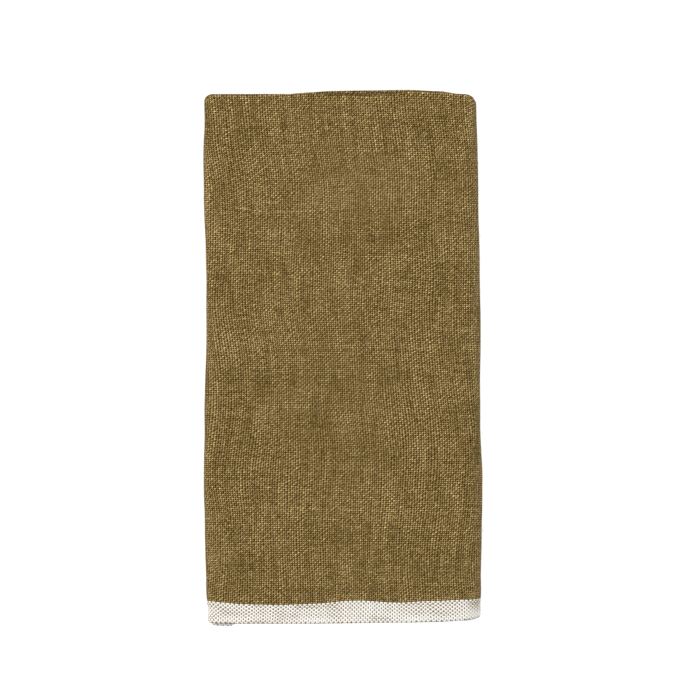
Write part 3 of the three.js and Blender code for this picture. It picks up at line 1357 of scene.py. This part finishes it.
@dataclass
class TowelCloth:
    """The one woven cloth, folded over the stack's six levels. Lengths in millimetres."""

    draft: Draft
    route: Route
    folding: Folding
    lie: YarnLie
    finish: WeaveFinish
    name: str = "woven_towel"
    fold_steps: int = 9
    front_spacing: float = 2.2
    rear_spacing: float = 4.0
    edge_rows: Row = (0.0, 0.35, 1.0, 2.0)
    first_row: float = 4.0
    edge_shares: Table = ((0.0, 0.35), (0.35, 0.8), (1.0, 1.0))
    smooth_angle: float = 60.0

    def across_rows(self) -> np.ndarray:
        """Places of the mesh's rows, from the front selvedge over the fold to the rear one.

        Returns:
            The places across the cloth.
        """
        straight = self.folding.straight
        first = self.first_row
        edge = self.lie.edge + np.array(self.edge_rows)
        front = np.linspace(first, straight, round((straight - first) / self.front_spacing))
        turn = np.linspace(0.0, math.pi * self.folding.fold_radius, self.fold_steps + 1)
        rear = np.linspace(straight, first, round((straight - first) / self.rear_spacing))
        rear = self.draft.width - rear
        return np.concatenate((
            edge, front, straight + turn[1:-1], rear, self.draft.width - edge[::-1],
        ))

    def build(self) -> bpy.types.Object:
        """Folds a flat grid over the route and gives it its thickness.

        Returns:
            The finished piece.
        """
        rows = self.across_rows()
        reach = self.route.reach
        deselect_all()
        bpy.ops.mesh.primitive_grid_add(
            x_subdivisions=len(reach) - 1,
            y_subdivisions=len(rows) - 1,
            size=1.0,
            calc_uvs=True,
        )
        piece = bpy.context.object
        piece.name = piece.data.name = self.name
        mesh = piece.data
        count = len(mesh.vertices)
        flat = read_values(mesh.vertices, "co", 3)
        column = np.rint((flat[:, 0] + 0.5) * (len(reach) - 1)).astype(int)
        row = np.rint((flat[:, 1] + 0.5) * (len(rows) - 1)).astype(int)
        at_reach, at_across = reach[column], rows[row]
        lift = np.zeros(count)
        folded = self.folding.carry(np.column_stack((at_reach, at_across, lift)))
        mesh.vertices.foreach_set("co", folded.ravel())
        counts = self.lie.counts(at_reach, at_across) / COUNTS_PER_UNIT
        corners = read_values(mesh.loops, "vertex_index", kind=int)
        layer = mesh.uv_layers.active
        layer.name = YARN_MAP
        layer.data.foreach_set("uv", counts[corners].ravel())
        mesh.update()
        self._thicken(piece, np.minimum(at_across, self.draft.width - at_across))
        self._turn_over(mesh, count)
        BakeSheet(self.draft, self.route, self.folding).lay(mesh, column, row, rows)
        self._centre(piece)
        piece.data.materials.append(self.finish.material())
        LOG.info("%s: %d faces", piece.name, len(piece.data.polygons))
        return piece

    def _thicken(self, piece: bpy.types.Object, from_edge: np.ndarray) -> None:
        """Gives the sheet its thickness, less at the selvedges, which are round.

        Args:
            piece: the folded sheet.
            from_edge: each point's distance from the nearest selvedge.
        """
        body = piece.vertex_groups.new(name="Body")
        inside = from_edge - self.lie.edge
        shares = np.interp(inside, *zip(*self.edge_shares))
        for share in np.unique(shares):
            body.add(np.flatnonzero(shares == share).tolist(), float(share), "REPLACE")
        make_active(piece)
        solid = piece.modifiers.new("Thickness", "SOLIDIFY")
        solid.thickness = self.draft.thickness * MM
        solid.offset = 0.0
        solid.use_even_offset = False
        solid.vertex_group = body.name
        bpy.ops.object.modifier_apply(modifier=solid.name)
        bpy.ops.object.shade_smooth_by_angle(angle=math.radians(self.smooth_angle))

    def _turn_over(self, mesh: bpy.types.Mesh, count: int) -> None:
        """Moves the underside's yarn counts on by one weft, as a yarn over is under there.

        Args:
            mesh: the thick sheet.
            count: how many points the sheet had before it was thick.
        """
        corners = read_values(mesh.loops, "vertex_index", kind=int)
        starts = read_values(mesh.polygons, "loop_start", kind=int)
        totals = read_values(mesh.polygons, "loop_total", kind=int)
        under = np.repeat(np.minimum.reduceat(corners, starts) >= count, totals)
        layer = mesh.uv_layers[YARN_MAP]
        counts = read_values(layer.data, "uv", 2)
        counts[:, 0] += under / COUNTS_PER_UNIT
        layer.data.foreach_set("uv", counts.ravel())

    def _centre(self, piece: bpy.types.Object) -> None:
        """Moves the mesh so that its box stands where the CAD cloth's does.

        Args:
            piece: the thick cloth.
        """
        low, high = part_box(CLOTH_NODE)
        places = read_values(piece.data.vertices, "co", 3)
        own_low, own_high = places.min(axis=0), places.max(axis=0)
        shift = (np.array(low) + np.array(high) - own_low - own_high) / 2.0
        shift[1] = high[1] - own_high[1]
        shift[2] = low[2] - own_low[2]
        piece.data.vertices.foreach_set("co", (places + shift).ravel())
        piece.data.update()
        self.folding.shift = self.folding.shift + shift / MM


@dataclass(frozen=True)
class YarnFinish:
    """A bare yarn or fibre, ochre unless told otherwise, its tint changing from place to place."""

    name: str = "ochre_weft_yarn"
    colours: YarnColours = YarnColours(
        (0.090, 0.050, 0.011, 1.0),
        (0.235, 0.155, 0.055, 1.0),
        (0.400, 0.290, 0.130, 1.0),
    )
    fibre_size: float = 0.16
    fibre_seed: float = 9.0
    fibre_detail: float = 2.0
    fibre_tone: float = 0.28
    turn_grain: Grain = Grain(0.9, 1.3, 5.0)
    turn_tone: float = 0.22
    middle_tone: float = 0.5
    deep_range: tuple[float, float] = (0.0, 0.6)
    high_range: tuple[float, float] = (0.45, 1.0)
    bump_depth: float = 0.05
    bump_strength: float = 0.7
    roughness: float = 0.92

    def material(self) -> bpy.types.Material:
        """Builds the material.

        Returns:
            The finished material.
        """
        bench = Bench(self.name)
        place = bench.node("ShaderNodeTexCoord")
        split = bench.node("ShaderNodeSeparateXYZ", None, {0: place.outputs["Object"]})
        x, y, z = (Signal(bench, split.outputs[axis]) * (1.0 / MM) for axis in range(3))
        turn = bench.grain(x, z, self.turn_grain)
        fibre = bench.noise(
            (x + y) / self.fibre_size,
            (y - z) / self.fibre_size,
            self.fibre_seed,
            self.fibre_detail,
        )
        tone = turn * self.turn_tone + fibre * self.fibre_tone + self.middle_tone
        colours = self.colours
        colour = bench.blend(tone.ramp(*self.deep_range), colours.deep, colours.middle)
        colour = bench.blend(tone.ramp(*self.high_range), colour, colours.high)
        return bench.bumpy(colour, self.roughness, fibre, self.bump_depth, self.bump_strength)


@dataclass
class WeftTurns:
    """The weft's turns round the outermost warp yarn, at both selvedges. Millimetres."""

    draft: Draft
    folding: Folding
    lie: YarnLie
    finish: YarnFinish
    name: str = "selvedge_weft_turns"
    yarn_radius: float = 0.28
    turn_radius: float = 0.42
    tilt: float = 0.5
    stand_off: float = 0.12
    widths: tuple[float, float] = (0.85, 1.2)
    lengths: tuple[float, float] = (0.7, 1.35)
    slack_share: float = 0.12
    slack: tuple[float, float] = (0.3, 0.9)
    stray: float = 0.13
    lift_spread: float = 0.07
    sides: int = 6
    steps: int = 7
    seed: int = 41

    def _one_turn(self) -> bpy.types.Object:
        """Spins a yarn's round section through half a circle.

        Returns:
            The turn, flat on the ground, open towards +Y.
        """
        deselect_all()
        bpy.ops.mesh.primitive_circle_add(
            vertices=self.sides,
            radius=self.yarn_radius,
            fill_type="NGON",
            location=(self.turn_radius, 0.0, 0.0),
            rotation=(math.pi / 2.0, 0.0, 0.0),
        )
        piece = bpy.context.object
        bpy.ops.object.transform_apply(location=True, rotation=True, scale=True)
        bpy.ops.object.mode_set(mode="EDIT")
        bpy.ops.mesh.select_all(action="SELECT")
        bpy.ops.mesh.spin(
            steps=self.steps,
            angle=-math.pi,
            center=(0.0, 0.0, 0.0),
            axis=(0.0, 0.0, 1.0),
        )
        bpy.ops.mesh.select_all(action="SELECT")
        bpy.ops.mesh.normals_make_consistent(inside=False)
        bpy.ops.object.mode_set(mode="OBJECT")
        return piece

    def build(self) -> bpy.types.Object:
        """Repeats the turn along both selvedges and folds the rows with the cloth.

        Returns:
            The finished piece.
        """
        piece = self._one_turn()
        piece.name = piece.data.name = self.name
        own = len(piece.data.vertices)
        spacing = 2.0 * self.draft.weft_pitch
        each_side = int(self.draft.length / spacing) - 1
        make_active(piece)
        row = piece.modifiers.new("Along the selvedges", "ARRAY")
        row.count = 2 * each_side
        row.use_relative_offset = False
        row.use_constant_offset = True
        row.constant_offset_displace = (spacing, 0.0, 0.0)
        bpy.ops.object.modifier_apply(modifier=row.name)
        mesh = piece.data
        places = read_values(mesh.vertices, "co", 3).reshape(-1, own, 3)
        places[:, :, 0] -= spacing * np.arange(2 * each_side)[:, None]
        folded = self._lay(places, each_side, spacing)
        mesh.vertices.foreach_set("co", folded.ravel())
        mesh.update()
        mesh.materials.append(self.finish.material())
        close_up(piece)
        bpy.ops.object.shade_smooth()
        LOG.info("%s: %d turns", piece.name, 2 * each_side)
        return piece

    def _lay(self, places: np.ndarray, each_side: int, spacing: float) -> np.ndarray:
        """Puts each turn at its own wefts, no two quite alike, and folds them.

        Args:
            places: the points of each turn, all at the origin.
            each_side: how many turns each selvedge has.
            spacing: how far apart they are along the cloth.

        Returns:
            The points in metres, in the row's frame.
        """
        chance = np.random.default_rng(self.seed)
        count = len(places)
        wide = chance.uniform(*self.widths, (count, 1))
        long = chance.uniform(*self.lengths, (count, 1))
        is_slack = chance.random((count, 1)) < self.slack_share
        long = long + is_slack * chance.uniform(*self.slack, (count, 1))
        strayed = chance.normal(0.0, self.stray, (count, 1))
        lifted = chance.normal(0.0, self.lift_spread, (count, 1))
        number = np.arange(count)[:, None] % each_side
        rear = np.arange(count)[:, None] >= each_side
        along = (number + 1.0) * spacing + strayed + places[:, :, 0] * wide
        outward = -places[:, :, 1] * long + self.stand_off
        tilt = np.where(rear, -self.tilt, self.tilt) * places[:, :, 0]
        lift = places[:, :, 2] + tilt + lifted
        edge = self.lie.edge
        across = np.where(rear, self.draft.width - edge + outward, edge - outward)
        reach = np.empty_like(along)
        for line in (edge, self.draft.width - edge):
            is_here = np.broadcast_to(rear == (line > edge), along.shape)
            reach[is_here] = self.folding.reach_of(along[is_here], line)
        flat = np.stack((reach, across, lift), axis=-1).reshape(-1, 3)
        folded = self.folding.carry(flat)
        folded[:, 2] = np.maximum(folded[:, 2], 0.0)
        return folded


@dataclass
class LooseFibres:
    """Short fibres that stand out of the yarns, most at the folds. Millimetres."""

    folding: Folding
    route: Route
    finish: YarnFinish
    name: str = "loose_fibres"
    count: int = 420
    radius: float = 0.022
    lengths: tuple[float, float] = (0.8, 4.0)
    curl: float = 1.6
    heights: tuple[float, float] = (0.25, 1.1)
    landings: tuple[float, float] = (0.5, 1.0)
    root_height: float = 0.38
    thinning: float = 0.6
    thicknesses: tuple[float, float] = (0.7, 1.3)
    kinds: tuple[float, float, float] = (0.33, 0.66, 0.84)
    first_row: float = 3.0
    top_reach: tuple[float, float] = (-1.0, 2.0)
    rising_from: float = 0.3
    falling_to: float = 0.75
    points: int = 7
    seed: int = 77

    def _places(self, chance: np.random.Generator) -> tuple[np.ndarray, np.ndarray]:
        """Roots of the fibres: two thirds on the side folds, the rest on the top fold and front.

        Args:
            chance: the source of random numbers.

        Returns:
            Each root's reach along the ply and place across the cloth.
        """
        route = self.route
        top = route.top_level
        curved = route.share > 0.0
        is_rising = (route.next_level == top) & (route.share > self.rising_from)
        is_falling = (route.level == top) & (route.share < self.falling_to)
        rising = route.reach[curved & is_rising]
        falling = route.reach[curved & is_falling]
        flat = route.reach[~curved & (route.level == top)]
        kind = chance.random(self.count)
        to_rising, to_falling, to_flat = self.kinds
        reach = np.where(
            kind < to_rising,
            chance.uniform(rising.min(), rising.max(), self.count),
            chance.uniform(falling.min(), falling.max(), self.count),
        )
        on_flat = chance.uniform(flat.min(), flat.max(), self.count)
        reach = np.where(kind > to_falling, on_flat, reach)
        straight = self.folding.straight
        across = chance.uniform(self.first_row, straight, self.count)
        on_top = straight + chance.uniform(*self.top_reach, self.count)
        across = np.where(kind > to_flat, on_top, across)
        return reach, across

    def build(self) -> bpy.types.Object:
        """Draws each fibre as a curl over the cloth and gives it its thickness.

        Returns:
            The finished piece.
        """
        chance = np.random.default_rng(self.seed)
        reach, across = self._places(chance)
        deselect_all()
        bpy.ops.curve.primitive_nurbs_path_add()
        piece = bpy.context.object
        piece.name = piece.data.name = self.name
        curve = piece.data
        curve.splines.clear()
        curve.dimensions = "3D"
        curve.bevel_depth = self.radius * MM
        curve.bevel_resolution = 0
        curve.use_fill_caps = True
        step = np.linspace(0.0, 1.0, self.points)
        for root, place in zip(reach, across):
            heading = chance.uniform(0.0, 2.0 * math.pi)
            length = chance.uniform(*self.lengths)
            curl = chance.normal(0.0, self.curl)
            height = chance.uniform(*self.heights)
            bearing = heading + curl * step
            run = np.cumsum(np.full(self.points, length / self.points))
            along = root + np.cos(bearing) * run
            beside = place + np.sin(bearing) * run
            landing = chance.uniform(*self.landings)
            lift = self.root_height + height * np.sin(step * math.pi * landing)
            places = self.folding.carry(np.column_stack((along, beside, lift)))
            spline = curve.splines.new("POLY")
            spline.points.add(self.points - 1)
            weighted = np.column_stack((places, np.ones(self.points)))
            spline.points.foreach_set("co", weighted.ravel())
            thickness = chance.uniform(*self.thicknesses)
            spline.points.foreach_set("radius", (1.0 - self.thinning * step) * thickness)
        make_active(piece)
        bpy.ops.object.convert(target="MESH")
        piece = bpy.context.object
        bpy.ops.object.transform_apply(location=True, rotation=True, scale=True)
        close_up(piece)
        piece.data.name = self.name
        piece.data.materials.clear()
        piece.data.materials.append(self.finish.material())
        LOG.info("%s: %d fibres", piece.name, self.count)
        return piece


@dataclass
class Studio:
    """Camera, lights and floor. Lengths are in metres."""

    view_x: float = 0.00302
    view_y: float = 0.00339
    lens: float = 200.0
    sensor: float = 36.0
    view_width: float = 0.3024
    view_level: float = 0.011
    far: float = 50.0
    floor_size: float = 12.0
    key_power: float = 14.5
    key_place: tuple[float, float, float] = (-0.75, 0.75, 1.3)
    key_size: float = 0.5
    sky: float = 0.86
    floor_grey: float = 0.12
    floor_glow: float = 0.96

    def camera(self) -> None:
        """Looks straight down, as the photograph does."""
        height = self.view_width * self.lens / self.sensor + self.view_level
        deselect_all()
        bpy.ops.object.camera_add(location=(self.view_x, self.view_y, height))
        camera = bpy.context.object
        camera.name = "Camera"
        camera.data.lens = self.lens
        camera.data.sensor_width = self.sensor
        camera.data.clip_end = self.far
        bpy.context.scene.camera = camera

    def lights(self) -> None:
        """A soft key light from the upper left and an even white sky."""
        deselect_all()
        bpy.ops.object.light_add(type="AREA", location=self.key_place)
        key = bpy.context.object
        key.name = "Key light"
        key.data.energy = self.key_power
        key.data.size = self.key_size
        key.rotation_euler = (-Vector(self.key_place)).to_track_quat("-Z", "Y").to_euler()
        world = bpy.data.worlds.new("Studio")
        bpy.context.scene.world = world
        world.use_nodes = True
        tree = world.node_tree
        tree.nodes.clear()
        sky = tree.nodes.new("ShaderNodeBackground")
        sky.inputs["Strength"].default_value = self.sky
        seen = tree.nodes.new("ShaderNodeBackground")
        seen.inputs["Strength"].default_value = 1.0
        path = tree.nodes.new("ShaderNodeLightPath")
        mix = tree.nodes.new("ShaderNodeMixShader")
        output = tree.nodes.new("ShaderNodeOutputWorld")
        tree.links.new(path.outputs["Is Camera Ray"], mix.inputs[0])
        tree.links.new(sky.outputs[0], mix.inputs[1])
        tree.links.new(seen.outputs[0], mix.inputs[2])
        tree.links.new(mix.outputs[0], output.inputs[0])
        bpy.context.scene.view_settings.view_transform = "Standard"

    def floor(self) -> None:
        """A plain white floor, lit a little from within like a light table."""
        deselect_all()
        bpy.ops.mesh.primitive_plane_add(size=self.floor_size)
        floor = bpy.context.object
        floor.name = "Floor"
        grey = (self.floor_grey, self.floor_grey, self.floor_grey, 1.0)
        white = Bench("floor_white").finish({
            "Base Color": grey, "Roughness": 1.0, "Specular IOR Level": 0.0,
            "Emission Color": (1.0, 1.0, 1.0, 1.0), "Emission Strength": self.floor_glow,
        })
        floor.data.materials.append(white)


def main() -> None:
    """Builds the towel and the studio, and reports each piece."""
    logging.basicConfig(level=logging.INFO, format="%(name)s: %(message)s")
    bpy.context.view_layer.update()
    draft = Draft()
    route = Route(draft)
    folding = Folding(draft, route)
    studio = Studio()
    studio.camera()
    studio.lights()
    studio.floor()
    lie = YarnLie(draft, route, folding)
    cloth = TowelCloth(draft, route, folding, lie, WeaveFinish(draft, lie)).build()
    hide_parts(CLOTH_NODE)
    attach(cloth, "root")
    turns = WeftTurns(draft, folding, lie, YarnFinish()).build()
    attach(turns, "root")
    fibre_finish = YarnFinish(name="pale_fibre", colours=FIBRE_COLOURS, roughness=FIBRE_ROUGHNESS)
    fibres = LooseFibres(folding, route, fibre_finish).build()
    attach(fibres, "root")


if __name__ == "__main__":
    main()
